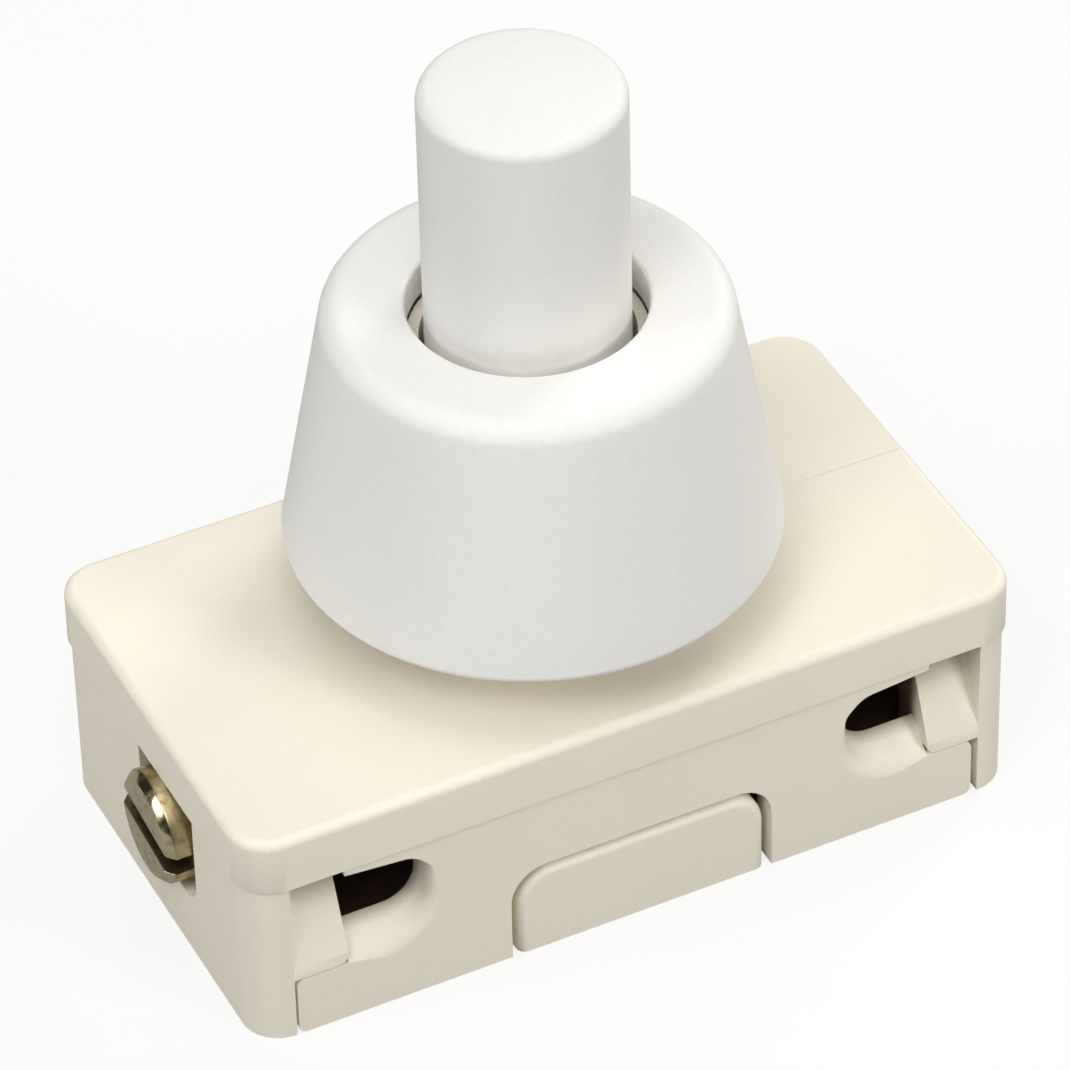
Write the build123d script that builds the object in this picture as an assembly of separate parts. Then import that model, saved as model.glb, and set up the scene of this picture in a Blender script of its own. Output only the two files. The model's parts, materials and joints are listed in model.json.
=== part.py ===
from build123d import *

import math
import os

# Panel-mount push-button switch for lamps and furniture, in millimetres, +Z up.
# Origin: centre of the underside of the base.
# +X runs along the long side, the wire mouths are on the long sides (front is -Y),
# and a terminal screw stands out of each end.
# Two interlocking mouldings make the body. The upper one carries the threaded neck
# and the long skirts, the base carries the end walls, the snap wedges and the tongues.
# Inside the neck a hollow button drives a four-tooth ratchet rotor, which turns a
# bridge across two fixed contacts.

# Body, across the lip of the cover
body_length = 32.0
body_width = 17.6
body_height = 9.8
corner_radius = 1.65
top_edge_round = 0.4
edge_steps = 3
lip_height = 2.4
cover_thickness = 1.4
skirt_thickness = 1.2
end_inset = 0.15
skirt_inset = 0.10
part_seam = 0.05

# Shallow step moulded in the right rear quarter of the cover
step_depth = 0.10
step_line_y = 0.25
step_start_x = 5.3

# End walls, corner posts and floor of the base
floor_thickness = 1.2
floor_side_gap = 0.10
end_wall_thickness = 1.3
base_corner_radius = 1.5
post_width = 1.55
post_depth = 2.3
skirt_gap_left = 0.10
skirt_gap_right = 0.28
skirt_tip_round = 0.35

# Tongue of the base and its cut-out in each skirt
tongue_half_width = 5.15
tongue_height = 3.85
tongue_corner = 1.5
tongue_edge_round = 0.35
tongue_gap = 0.30

# Wire mouths, flared from the throat to the outside of the skirt
mouth_width = 3.45
mouth_height = 4.06
throat_inset = 0.2
throat_height = 2.82
mouth_arch_drop = 0.68
mouth_arch_end_drop = 0.35
mouth_arch_radius = 1.15
mouth_corner_radius = 2.1
throat_corner_radius = 1.3
mouth_overcut = 0.1

# Snap wedges beside the posts
wedge_width = 2.2
wedge_gap = 0.05
wedge_flush_height = 0.64
wedge_top_recess = 1.6
wedge_corner_round = 0.45

# Threaded neck (core only, the fine thread stands on it) and the guide sleeve below
thread_major = 10.0
thread_depth = 0.55
neck_height = 11.85
bore_clearance = 0.20
sleeve_bottom_z = 4.2
sleeve_radius = 5.2

# Cone nut
nut_lift = 2.95
nut_height = 10.5
nut_base_radius = 9.4
nut_top_radius = 7.5
nut_mouth_radius = 4.46
nut_lip_thickness = 1.4
nut_top_round = 0.9
nut_round_steps = 3
nut_wall = 1.4
nut_hub_wall = 1.25
nut_hollow_depth = 8.2
nut_rib_count = 4
nut_rib_thickness = 1.0
thread_clearance = 0.05

# Button
button_radius = 3.8
button_wall = 0.85
button_apex_z = 33.0
button_dome_rise = 0.3
button_dome_steps = 2
button_edge_round = 0.55
button_edge_steps = 3
button_cap_thickness = 1.6
button_core_radius = 2.2
button_core_depth = 13.0
press_travel = 3.0

# Ratchet: four helical ramps on the rotor, four legs on the button
ramp_count = 4
ramp_travel_share = 0.8
ramp_gap = 0.05
ramp_steps = 6
leg_width = 0.8
leg_rim_clearance = 0.25
barb_radius = 4.55
barb_height = 0.95
barb_gap = 0.10
barb_side_gap = 0.15
first_leg_angle = 45.0

# Rotor
pivot_radius = 1.2
pivot_clearance = 0.05
pivot_proud = 0.55
rotor_disc_radius = 4.3
rotor_disc_thickness = 0.7
rotor_hub_radius = 1.9
rotor_hub_height = 1.3
crown_side_gap = 0.05
drive_boss_radius = 1.85
drive_boss_flat = 1.45
drive_boss_gap = 0.30
drive_fit = 0.05

# Contacts
strip_thickness = 0.4
strip_width = 2.6
strip_inner_x = 2.4
rivet_x = 3.3
rivet_head_radius = 0.9
rivet_head_height = 0.35
rivet_shank_radius = 0.5
rivet_shank_depth = 0.6
rivet_fit = 0.02
contact_gap = 0.05
bridge_thickness = 0.35
bridge_centre_radius = 2.7
bridge_reach = 4.3
bridge_arm_width = 2.0
bridge_rivet_head = 0.25
bridge_rivet_tail = 0.15
washer_thickness = 0.25
washer_side_gap = 0.05

# Return spring
spring_wire = 0.56
spring_mean_radius = 2.42
spring_turns = 4
spring_wire_sides = 4

# Terminals, one at each end
screw_y = -1.1
screw_head_radius = 2.25
screw_head_thickness = 1.9
screw_head_chamfer = 0.33
screw_proud = 0.95
screw_opening_gap = 0.15
screw_opening_corner = 1.0
slot_width = 0.85
slot_depth = 1.1
slot_tilt = 8.0
shank_radius = 1.45
shank_clearance = 0.05
spigot_radius = 0.6
spigot_clearance = 0.05
cage_end_gap = 1.65
cage_length = 4.9
cage_half_width = 2.4
cage_half_height = 2.45
cage_wall = 0.6
cage_thread_wall = 1.5
cage_window_half_height = 1.7
cage_corner_round = 0.5
plate_thickness = 0.5
plate_play = 0.05
plate_end_gap = 0.1
plate_half_width = 2.0
plate_saddle_radius = 3.0
plate_saddle_depth = 0.12
cheek_thickness = 0.9
cheek_gap = 0.1
cheek_height = 5.2

# Values worked out from the ones above
overshoot = 1.0
lip_bottom_z = body_height - lip_height
cover_under_z = body_height - cover_thickness
skirt_outer_y = body_width / 2 - skirt_inset
skirt_inner_y = skirt_outer_y - skirt_thickness
end_outer_x = body_length / 2 - end_inset
end_inner_x = end_outer_x - end_wall_thickness
post_inner_x = end_outer_x - post_width
post_inner_y = skirt_outer_y - post_depth
mouth_outer_x = post_inner_x - wedge_width
mouth_inner_x = mouth_outer_x - mouth_width
mouth_arch_z = lip_bottom_z - mouth_arch_drop
mouth_arch_end_z = lip_bottom_z - mouth_arch_end_drop
mouth_floor_z = mouth_arch_z - mouth_height
throat_floor_z = mouth_arch_z - throat_height
wedge_flush_z = mouth_floor_z + wedge_flush_height
base_top_z = lip_bottom_z - part_seam
floor_half_width = skirt_inner_y - floor_side_gap
cutout_half_width = tongue_half_width + tongue_gap
cutout_height = tongue_height + tongue_gap
bore_radius = button_radius + bore_clearance
neck_core_radius = thread_major / 2 - thread_depth
neck_top_z = body_height + neck_height
nut_bottom_z = body_height + nut_lift
nut_top_z = nut_bottom_z + nut_height
nut_thread_radius = thread_major / 2 + thread_clearance
button_bore_radius = button_radius - button_wall
strip_top_z = floor_thickness + strip_thickness
fixed_rivet_top_z = strip_top_z + rivet_head_height
bridge_bottom_z = fixed_rivet_top_z + contact_gap + bridge_rivet_head
rotor_bottom_z = bridge_bottom_z + bridge_thickness
ramp_root_z = rotor_bottom_z + rotor_disc_thickness
ramp_pitch = 360.0 / ramp_count
ramp_height = press_travel / ramp_travel_share
ramp_peak_z = ramp_root_z + ramp_height
leg_rest_share = (1 + ramp_travel_share) / 2
leg_rim_z = ramp_peak_z + press_travel + leg_rim_clearance
first_ramp_angle = first_leg_angle - leg_rest_share * ramp_pitch
barb_top_z = cover_under_z - barb_gap
spring_seat_z = button_apex_z - button_core_depth
crown_radius = button_radius - crown_side_gap
screw_z = lip_bottom_z - screw_head_radius
opening_half_width = screw_head_radius + screw_opening_gap
head_face_x = end_outer_x + screw_proud
head_under_x = head_face_x - screw_head_thickness
cage_outer_x = end_inner_x - cage_end_gap
cage_inner_x = cage_outer_x - cage_length
window_inner_x = cage_inner_x + cage_wall
window_outer_x = cage_outer_x - cage_thread_wall
plate_outer_x = window_outer_x - plate_play
plate_inner_x = plate_outer_x - plate_thickness


def block(x0, x1, y0, y1, z0, z1):
    """Box between two corners."""
    low = (Align.MIN, Align.MIN, Align.MIN)
    return Pos(x0, y0, z0) * Box(x1 - x0, y1 - y0, z1 - z0, align=low)


def disc(radius, z0, z1):
    """Upright cylinder on the Z axis."""
    foot = (Align.CENTER, Align.CENTER, Align.MIN)
    return Pos(0, 0, z0) * Cylinder(radius, z1 - z0, align=foot)


def tube(outer, inner, z0, z1):
    """Upright ring on the Z axis."""
    return disc(outer, z0, z1) - disc(inner, z0, z1)


def rod_along_x(radius, x0, x1):
    """Cylinder along X on the axis of the terminal screws."""
    turned = Pos((x0 + x1) / 2, screw_y, screw_z) * Rot(0, 90, 0)
    return turned * Cylinder(radius, x1 - x0)


def front_plane(y):
    """Plane that faces the front at the given Y, with X across and Z up."""
    return Plane(origin=(0, y, 0), x_dir=(1, 0, 0), z_dir=(0, -1, 0))


def front_prism(sketch, y0, y1):
    """Front-view sketch pulled from y1 to y0 (y0 is nearer the front)."""
    return extrude(front_plane(y1) * sketch, amount=y1 - y0)


def both_sides(solid):
    """The solid with its mirror image across the XZ plane."""
    return solid + mirror(solid, about=Plane.XZ)


def four_corners(solid):
    """The solid repeated at the four corners of the body."""
    return both_sides(solid + mirror(solid, about=Plane.YZ))


def rounded_block(length, width, radius, z0, z1):
    """Upright block with rounded vertical edges, centred on the Z axis."""
    return extrude(Pos(0, 0, z0) * RectangleRounded(length, width, radius), amount=z1 - z0)


def revolved(points):
    """Solid of revolution about Z from (radius, height) points."""
    return revolve(Plane.XZ * make_face(Polyline(*points, close=True)), axis=Axis.Z)


def arc_chords(centre, radius, first_angle, last_angle, steps):
    """Points along an arc, both ends included, so that its chords make narrow bands."""
    angles = [first_angle + (last_angle - first_angle) * step / steps for step in range(steps + 1)]
    return [
        (centre[0] + radius * math.cos(math.radians(a)), centre[1] + radius * math.sin(math.radians(a)))
        for a in angles]


def rounded_edge(outline_at, radius):
    """Stack of bands that rounds the edge of a block.

    outline_at(inset, rise) gives the outline at one level. The block's side ends where
    rise is 0, and its top lies at rise equal to the radius.
    """
    quarter = arc_chords((0, 0), radius, 0, 90, edge_steps)
    return loft([outline_at(radius - across, rise) for across, rise in quarter], ruled=True)


def ramp_sector(first_angle, lift, floor_z):
    """Sector below one helical ramp, from floor_z up to the ramp raised by lift."""
    sections = []
    reach = crown_radius + overshoot
    for step in range(ramp_steps + 1):
        share = step / ramp_steps
        angle = math.radians(first_angle + share * ramp_pitch)
        across, along = math.cos(angle), math.sin(angle)
        top_z = ramp_root_z + lift + share * ramp_height
        plane = Plane(origin=(0, 0, 0), x_dir=(across, along, 0), z_dir=(along, -across, 0))
        middle = Pos((reach + pivot_radius) / 2, (top_z + floor_z) / 2)
        sections.append(plane * middle * Rectangle(reach - pivot_radius, top_z - floor_z))
    return loft(sections, ruled=True)


def cover():
    """Cover plate with its lip, rounded top edge and shallow rear step."""
    side_top_z = body_height - top_edge_round

    def outline_at(inset, rise):
        """Outline of the plate within its rounded edge."""
        shape = RectangleRounded(body_length - 2 * inset, body_width - 2 * inset, corner_radius - inset)
        return Pos(0, 0, side_top_z + rise) * shape

    plate = rounded_block(body_length, body_width, corner_radius, lip_bottom_z, side_top_z)
    plate += rounded_edge(outline_at, top_edge_round)
    lip_wall = body_width / 2 - skirt_inner_y
    hollow = rounded_block(
        body_length - 2 * lip_wall, body_width - 2 * lip_wall, corner_radius / 2,
        lip_bottom_z - overshoot, cover_under_z)
    step = block(
        step_start_x, body_length, step_line_y, body_width,
        body_height - step_depth, body_height + overshoot)
    return plate - hollow - step


def skirt_profile():
    """Front view of a skirt: bands below the wedges and the cut-out for the tongue."""
    left_x = -post_inner_x + skirt_gap_left
    right_x = post_inner_x - skirt_gap_right
    outline = Pos((left_x + right_x) / 2, lip_bottom_z / 2) * Rectangle(right_x - left_x, lip_bottom_z)
    window_width = 2 * (body_length / 2 - mouth_outer_x)
    for side in (-1, 1):
        window_height = 2 * (lip_bottom_z - mouth_floor_z)
        outline -= Pos(side * body_length / 2, lip_bottom_z) * Rectangle(window_width, window_height)
    tips = [v for v in outline.vertices() if abs(v.X) > mouth_outer_x + overshoot]
    outline = fillet(tips, skirt_tip_round)
    return outline - RectangleRounded(2 * cutout_half_width, 2 * cutout_height, tongue_corner)


def mouth_section(y, inner_x, floor_z, corner, floor_shift):
    """Outline of a wire mouth at one depth of the skirt wall."""
    low_z = floor_z + floor_shift
    points = [
        (inner_x, low_z), (mouth_outer_x, low_z),
        (mouth_outer_x, mouth_arch_end_z), (inner_x, mouth_arch_z)]
    outline = make_face(Polyline(*points, close=True))
    inner = outline.vertices().sort_by(Axis.X)[:2].sort_by(Axis.Y)
    outline = fillet(inner[0], corner)
    arch = outline.vertices().sort_by_distance((inner_x, mouth_arch_z, 0))[0]
    return front_plane(y) * fillet(arch, mouth_arch_radius)


def wire_mouth():
    """Flared cutter for the right front wire mouth."""
    shift = mouth_overcut * (throat_floor_z - mouth_floor_z) / skirt_thickness
    outside = mouth_section(
        -skirt_outer_y - mouth_overcut, mouth_inner_x, mouth_floor_z, mouth_corner_radius, -shift)
    inside = mouth_section(
        -skirt_inner_y + mouth_overcut, mouth_inner_x + throat_inset, throat_floor_z,
        throat_corner_radius, shift)
    return loft([outside, inside])


def barb_slots():
    """Slots in the guide sleeve that the barbs of the button slide in."""
    slots = Part()
    width = leg_width + 2 * barb_side_gap
    reach = barb_radius + bore_clearance
    for number in range(ramp_count):
        slot = block(
            button_bore_radius, reach, -width / 2, width / 2,
            sleeve_bottom_z - overshoot, cover_under_z)
        slots += Rot(0, 0, first_leg_angle + number * ramp_pitch) * slot
    return slots


def upper_housing():
    """Cover, neck, guide sleeve and both skirts in one moulding."""
    skirt = front_prism(skirt_profile(), -skirt_outer_y, -skirt_inner_y)
    mouth = wire_mouth()
    skirt -= mouth + mirror(mouth, about=Plane.YZ)
    hold_down = block(
        window_inner_x, cage_outer_x, screw_y - plate_half_width, screw_y + plate_half_width,
        screw_z + cage_half_height + part_seam, cover_under_z + part_seam)
    body = cover() + both_sides(skirt) + hold_down + mirror(hold_down, about=Plane.YZ)
    body += disc(neck_core_radius, cover_under_z, neck_top_z)
    body += disc(sleeve_radius, sleeve_bottom_z, cover_under_z + part_seam)
    return body - disc(bore_radius, sleeve_bottom_z - overshoot, neck_top_z + overshoot) - barb_slots()


def snap_wedge():
    """Right front wedge: flush at its foot, leaning inwards towards the lip."""
    foot_z = mouth_floor_z + wedge_gap
    points = [
        (mouth_outer_x, foot_z), (post_inner_x + part_seam, foot_z),
        (post_inner_x + part_seam, base_top_z), (mouth_outer_x, base_top_z)]
    face = make_face(Polyline(*points, close=True))
    face = fillet(face.vertices().sort_by_distance((mouth_outer_x, foot_z, 0))[0], wedge_corner_round)
    wedge = front_prism(face, -skirt_outer_y, -post_inner_y)
    lean = [
        (-skirt_outer_y - overshoot, wedge_flush_z), (-skirt_outer_y, wedge_flush_z),
        (-skirt_outer_y + wedge_top_recess, base_top_z),
        (-skirt_outer_y + wedge_top_recess, base_top_z + overshoot),
        (-skirt_outer_y - overshoot, base_top_z + overshoot)]
    slice_face = Plane.YZ * make_face(Polyline(*lean, close=True))
    root = block(
        mouth_outer_x, post_inner_x + part_seam, -floor_half_width, -post_inner_y,
        floor_thickness / 2, base_top_z)
    return wedge + root - extrude(slice_face, amount=post_inner_x)


def corner_post():
    """Right front corner post."""
    post = block(post_inner_x, body_length / 2, -body_width / 2, -post_inner_y, 0, base_top_z)
    outer = rounded_block(
        2 * end_outer_x, 2 * skirt_outer_y, base_corner_radius, 0, base_top_z)
    return post & outer


def tongue():
    """Front tongue of the base, rounded at its top corners and all along its edge."""
    face_y = -skirt_outer_y

    def outline_at(inset, rise):
        """Outline of the tongue, with its mirror image below, within its rounded edge."""
        shape = RectangleRounded(
            2 * (tongue_half_width - inset), 2 * (tongue_height - inset), tongue_corner - inset)
        return front_plane(face_y + tongue_edge_round - rise) * shape

    full = RectangleRounded(2 * tongue_half_width, 2 * tongue_height, tongue_corner)
    plug = front_prism(full, face_y + tongue_edge_round, -floor_half_width + floor_side_gap)
    plug += rounded_edge(outline_at, tongue_edge_round)
    return plug & block(-tongue_half_width, tongue_half_width, face_y, 0, 0, tongue_height)


def screw_opening():
    """Opening in the right end wall, open to the lip, for the terminal screw."""
    half_height = base_top_z - screw_z + overshoot
    outline = RectangleRounded(2 * opening_half_width, 2 * opening_half_width, screw_opening_corner)
    outline += Pos(0, half_height / 2) * Rectangle(2 * opening_half_width, half_height)
    plane = Plane(origin=(end_inner_x - overshoot, screw_y, screw_z), x_dir=(0, 1, 0), z_dir=(1, 0, 0))
    return extrude(plane * outline, amount=end_wall_thickness + 2 * overshoot)


def terminal_seat():
    """Pedestal and rear cheek that hold the right terminal cage."""
    low_z = floor_thickness / 2
    cage_under_z = screw_z - cage_half_height
    seat = block(
        window_inner_x, cage_outer_x, screw_y - plate_half_width, screw_y + plate_half_width,
        low_z, cage_under_z)
    cheek_y = screw_y + cage_half_width + cheek_gap
    return seat + block(
        window_inner_x, cage_outer_x, cheek_y, cheek_y + cheek_thickness,
        low_z, floor_thickness + cheek_height)


def base_housing():
    """Floor, end walls, posts, wedges, tongues, pivot and terminal seats."""
    floor = block(-end_inner_x, end_inner_x, -floor_half_width, floor_half_width, 0, floor_thickness)
    outer = rounded_block(2 * end_outer_x, 2 * skirt_outer_y, base_corner_radius, 0, base_top_z)
    end = block(
        end_inner_x, body_length / 2, -post_inner_y - part_seam, post_inner_y + part_seam, 0, base_top_z)
    ends = (end & outer) - screw_opening()
    body = floor + ends + mirror(ends, about=Plane.YZ)
    body += four_corners(corner_post() + snap_wedge()) + both_sides(tongue())
    seat = terminal_seat()
    body += seat + mirror(seat, about=Plane.YZ)
    body += disc(pivot_radius, floor_thickness / 2, ramp_root_z + rotor_hub_height + pivot_proud)
    for side in (-1, 1):
        pad = block(
            -rivet_head_radius, rivet_head_radius, -rivet_head_radius, rivet_head_radius,
            floor_thickness / 2, fixed_rivet_top_z)
        body += Pos(0, side * rivet_x, 0) * pad
        hole = disc(rivet_shank_radius + rivet_fit, floor_thickness - rivet_shank_depth, floor_thickness)
        body -= Pos(side * rivet_x, 0, 0) * hole
    return body


def cone_nut():
    """Tapered nut, hollow below between its wall and the threaded hub, with ribs."""
    taper = (nut_base_radius - nut_top_radius) / nut_height
    lean = math.degrees(math.atan(taper))
    round_z = nut_top_z - nut_top_round
    round_x = nut_top_radius + taper * nut_top_round - nut_top_round / math.cos(math.radians(lean))
    outline = [
        (nut_thread_radius, nut_bottom_z), (nut_base_radius, nut_bottom_z),
        *arc_chords((round_x, round_z), nut_top_round, lean, 90, nut_round_steps),
        (nut_mouth_radius, nut_top_z), (nut_mouth_radius, nut_top_z - nut_lip_thickness),
        (nut_thread_radius, nut_top_z - nut_lip_thickness)]
    nut = revolved(outline)
    hub_radius = nut_thread_radius + nut_hub_wall
    low_z = nut_bottom_z - overshoot
    high_z = nut_bottom_z + nut_hollow_depth
    hollow = revolved([
        (hub_radius, low_z), (nut_base_radius - nut_wall + taper * overshoot, low_z),
        (nut_base_radius - nut_wall - taper * nut_hollow_depth, high_z), (hub_radius, high_z)])
    for number in range(nut_rib_count):
        rib = block(
            nut_thread_radius, nut_base_radius, -nut_rib_thickness / 2, nut_rib_thickness / 2,
            nut_bottom_z + nut_rib_thickness, nut_top_z)
        hollow -= Rot(0, 0, number * 360.0 / nut_rib_count) * rib
    return nut - hollow


def button_legs():
    """Four legs with helical tips that ride on the rotor's ramps, and their barbs."""
    legs = Part()
    for number in range(ramp_count):
        turn = Rot(0, 0, first_leg_angle + number * ramp_pitch)
        leg = block(0, button_radius, -leg_width / 2, leg_width / 2, ramp_root_z, leg_rim_z)
        leg = leg & tube(button_radius, button_bore_radius, ramp_root_z, leg_rim_z)
        barb = block(
            button_bore_radius, barb_radius, -leg_width / 2, leg_width / 2,
            barb_top_z - barb_height, barb_top_z)
        barb = barb & tube(barb_radius, button_bore_radius, ramp_root_z, leg_rim_z)
        below = ramp_sector(first_ramp_angle + number * ramp_pitch, ramp_gap, ramp_root_z - overshoot)
        legs += turn * (leg + barb) - below
    return legs


def push_button():
    """Hollow button with a gently domed top, cored from below to the spring seat."""
    dome_radius = (button_radius**2 + button_dome_rise**2) / (2 * button_dome_rise)
    dome_z = button_apex_z - dome_radius
    edge_x = button_radius - button_edge_round
    edge_z = dome_z + math.sqrt((dome_radius - button_edge_round)**2 - edge_x**2)
    edge_angle = math.degrees(math.acos(edge_x / (dome_radius - button_edge_round)))
    core_top_z = button_apex_z - button_cap_thickness
    shell = revolved([
        (button_radius, leg_rim_z), (button_bore_radius, leg_rim_z), (button_bore_radius, spring_seat_z),
        (button_core_radius, spring_seat_z), (button_core_radius, core_top_z), (0, core_top_z),
        *arc_chords((0, dome_z), dome_radius, 90, edge_angle, button_dome_steps)[:-1],
        *arc_chords((edge_x, edge_z), button_edge_round, edge_angle, 0, button_edge_steps)])
    return shell + button_legs()


def ratchet_rotor():
    """Rotor with a crown of four helical ramps, a hub and a two-flat drive boss."""
    crown = tube(crown_radius, button_bore_radius, ramp_root_z, ramp_peak_z)
    ramps = Part()
    for number in range(ramp_count):
        ramps += ramp_sector(first_ramp_angle + number * ramp_pitch, 0, ramp_root_z - part_seam)
    boss_top_z = rotor_bottom_z + part_seam
    boss = disc(drive_boss_radius, strip_top_z + drive_boss_gap, boss_top_z)
    boss = boss & block(
        -drive_boss_radius, drive_boss_radius, -drive_boss_flat, drive_boss_flat,
        strip_top_z, boss_top_z)
    rotor = disc(rotor_disc_radius, rotor_bottom_z, ramp_root_z) + (crown & ramps) + boss
    rotor += disc(rotor_hub_radius, ramp_root_z, ramp_root_z + rotor_hub_height)
    for side in (-1, 1):
        pocket = block(
            -rivet_head_radius, rivet_head_radius, -rivet_head_radius, rivet_head_radius,
            rotor_bottom_z, rotor_bottom_z + 2 * bridge_rivet_tail)
        rotor -= Pos(side * rivet_x, 0, 0) * pocket
    return rotor - disc(pivot_radius + pivot_clearance, 0, ramp_peak_z)


def contact_bridge():
    """Springy bridge with two arms, driven by the boss of the rotor."""
    bridge = disc(bridge_centre_radius, bridge_bottom_z, rotor_bottom_z)
    bridge += block(
        -bridge_reach, bridge_reach, -bridge_arm_width / 2, bridge_arm_width / 2,
        bridge_bottom_z, rotor_bottom_z)
    bridge = bridge & disc(bridge_reach, bridge_bottom_z, rotor_bottom_z)
    hole = disc(drive_boss_radius + drive_fit, bridge_bottom_z, rotor_bottom_z)
    flat = drive_boss_flat + drive_fit
    hole = hole & block(-bridge_reach, bridge_reach, -flat, flat, bridge_bottom_z, rotor_bottom_z)
    bridge -= hole
    for side in (-1, 1):
        bridge -= Pos(side * rivet_x, 0, 0) * disc(
            rivet_shank_radius + rivet_fit, bridge_bottom_z, rotor_bottom_z)
    return bridge


def contact_rivet(head_z, head_height, shank_end_z):
    """Rivet on the Z axis with its head at head_z, pointing away from its shank."""
    upward = 1 if shank_end_z < head_z else -1
    tip_z = head_z + upward * head_height
    return revolved([
        (0, tip_z), (rivet_head_radius, tip_z), (rivet_head_radius, head_z),
        (rivet_shank_radius, head_z), (rivet_shank_radius, shank_end_z), (0, shank_end_z)])


def fixed_rivet():
    """Silver rivet of the right fixed contact."""
    rivet = contact_rivet(strip_top_z, rivet_head_height, floor_thickness - rivet_shank_depth + rivet_fit)
    return Pos(rivet_x, 0, 0) * rivet


def bridge_rivet():
    """Silver rivet of the bridge's right arm, head down."""
    rivet = contact_rivet(bridge_bottom_z, bridge_rivet_head, rotor_bottom_z + bridge_rivet_tail)
    return Pos(rivet_x, 0, 0) * rivet


def fixed_contact():
    """Right contact strip: flat on the floor, then bent up against the terminal cage."""
    top_z = screw_z + cage_half_height / 2
    points = [
        (strip_inner_x, floor_thickness), (cage_inner_x, floor_thickness), (cage_inner_x, top_z),
        (cage_inner_x - strip_thickness, top_z), (cage_inner_x - strip_thickness, strip_top_z),
        (strip_inner_x, strip_top_z)]
    face = make_face(Polyline(*points, close=True))
    bend = face.vertices().sort_by_distance((cage_inner_x, floor_thickness, 0))[0]
    face = fillet(bend, strip_thickness)
    strip = front_prism(face, -strip_width / 2, strip_width / 2)
    hole = disc(rivet_shank_radius + rivet_fit, 0, body_height)
    return strip - Pos(rivet_x, 0, 0) * hole


def spring_washer():
    """Thrust washer between the spring and the rotor."""
    return tube(
        button_bore_radius - washer_side_gap, rotor_hub_radius + washer_side_gap,
        ramp_root_z, ramp_root_z + washer_thickness)


def return_spring():
    """Open-ended compression spring from the washer to the seat in the button."""
    low_z = ramp_root_z + washer_thickness + spring_wire / 2
    high_z = spring_seat_z - spring_wire / 2
    pitch = (high_z - low_z) / spring_turns
    path = Pos(0, 0, low_z) * Helix(pitch, high_z - low_z, spring_mean_radius)
    section = Plane(origin=path @ 0, z_dir=path % 0) * RegularPolygon(spring_wire / 2, spring_wire_sides)
    return sweep(section, path=path, is_frenet=True)


def terminal_cage():
    """Right terminal cage: brass box with a wire window and a tapped outer wall."""
    cage = block(
        cage_inner_x, cage_outer_x, screw_y - cage_half_width, screw_y + cage_half_width,
        screw_z - cage_half_height, screw_z + cage_half_height)
    cage = fillet(cage.edges().filter_by(Axis.Y), cage_corner_round)
    cage -= block(
        window_inner_x, window_outer_x, -body_width, body_width,
        screw_z - cage_window_half_height, screw_z + cage_window_half_height)
    return cage - rod_along_x(shank_radius + shank_clearance, window_outer_x, cage_outer_x + overshoot)


def terminal_screw():
    """Right terminal screw: slotted cheese head, shank and a spigot for the plate."""
    head = rod_along_x(screw_head_radius, head_under_x, head_face_x)
    head = chamfer(head.edges().sort_by(Axis.X)[-1], screw_head_chamfer)
    slot = block(
        head_face_x - slot_depth, head_face_x + overshoot,
        -2 * screw_head_radius, 2 * screw_head_radius, -slot_width / 2, slot_width / 2)
    head -= Pos(0, screw_y, screw_z) * Rot(slot_tilt, 0, 0) * slot
    shank = rod_along_x(shank_radius, plate_outer_x, head_under_x)
    return head + shank + rod_along_x(spigot_radius, plate_inner_x + plate_saddle_depth, plate_outer_x)


def pressure_plate():
    """Right pressure plate, which the screw pushes against the wire."""
    half_height = cage_window_half_height - plate_end_gap
    plate = block(
        plate_inner_x, plate_outer_x, screw_y - plate_half_width, screw_y + plate_half_width,
        screw_z - half_height, screw_z + half_height)
    saddle = Pos(plate_inner_x + plate_saddle_depth - plate_saddle_radius, screw_y, screw_z)
    plate -= saddle * Rot(90, 0, 0) * Cylinder(plate_saddle_radius, 2 * cage_half_width)
    return plate - rod_along_x(spigot_radius + spigot_clearance, plate_inner_x, plate_outer_x)


def sub_parts():
    """All sub-parts by name."""
    parts = {
        "upper_housing": upper_housing(),
        "base_housing": base_housing(),
        "cone_nut": cone_nut(),
        "push_button": push_button(),
        "return_spring": return_spring(),
        "spring_washer": spring_washer(),
        "ratchet_rotor": ratchet_rotor(),
        "contact_bridge": contact_bridge(),
    }
    handed = {
        "bridge_rivet": bridge_rivet(),
        "fixed_contact": fixed_contact(),
        "fixed_rivet": fixed_rivet(),
        "terminal_cage": terminal_cage(),
        "terminal_screw": terminal_screw(),
        "pressure_plate": pressure_plate(),
    }
    for name, right in handed.items():
        parts["right_" + name] = right
        parts["left_" + name] = mirror(right, about=Plane.YZ)
    return parts


def main():
    """Write one file per sub-part."""
    os.makedirs("parts", exist_ok=True)
    for name, solid in sub_parts().items():
        export_step(solid, os.path.join("parts", name + ".step"))


main()
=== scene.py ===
"""Looks of a panel-mount push-button switch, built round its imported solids.

Two ivory mouldings clip together into the body. A threaded neck stands on it and
carries a tapered white nut, and a long white button comes up through both. A plated
terminal screw stands out of each end. Lengths are in metres unless a name says mm.
"""

import json
import logging
import math
from dataclasses import dataclass
from enum import Enum
from typing import Callable, Iterable, Iterator, Optional, Sequence, Union

import bmesh
import bpy
from mathutils import Matrix, Vector


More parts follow.
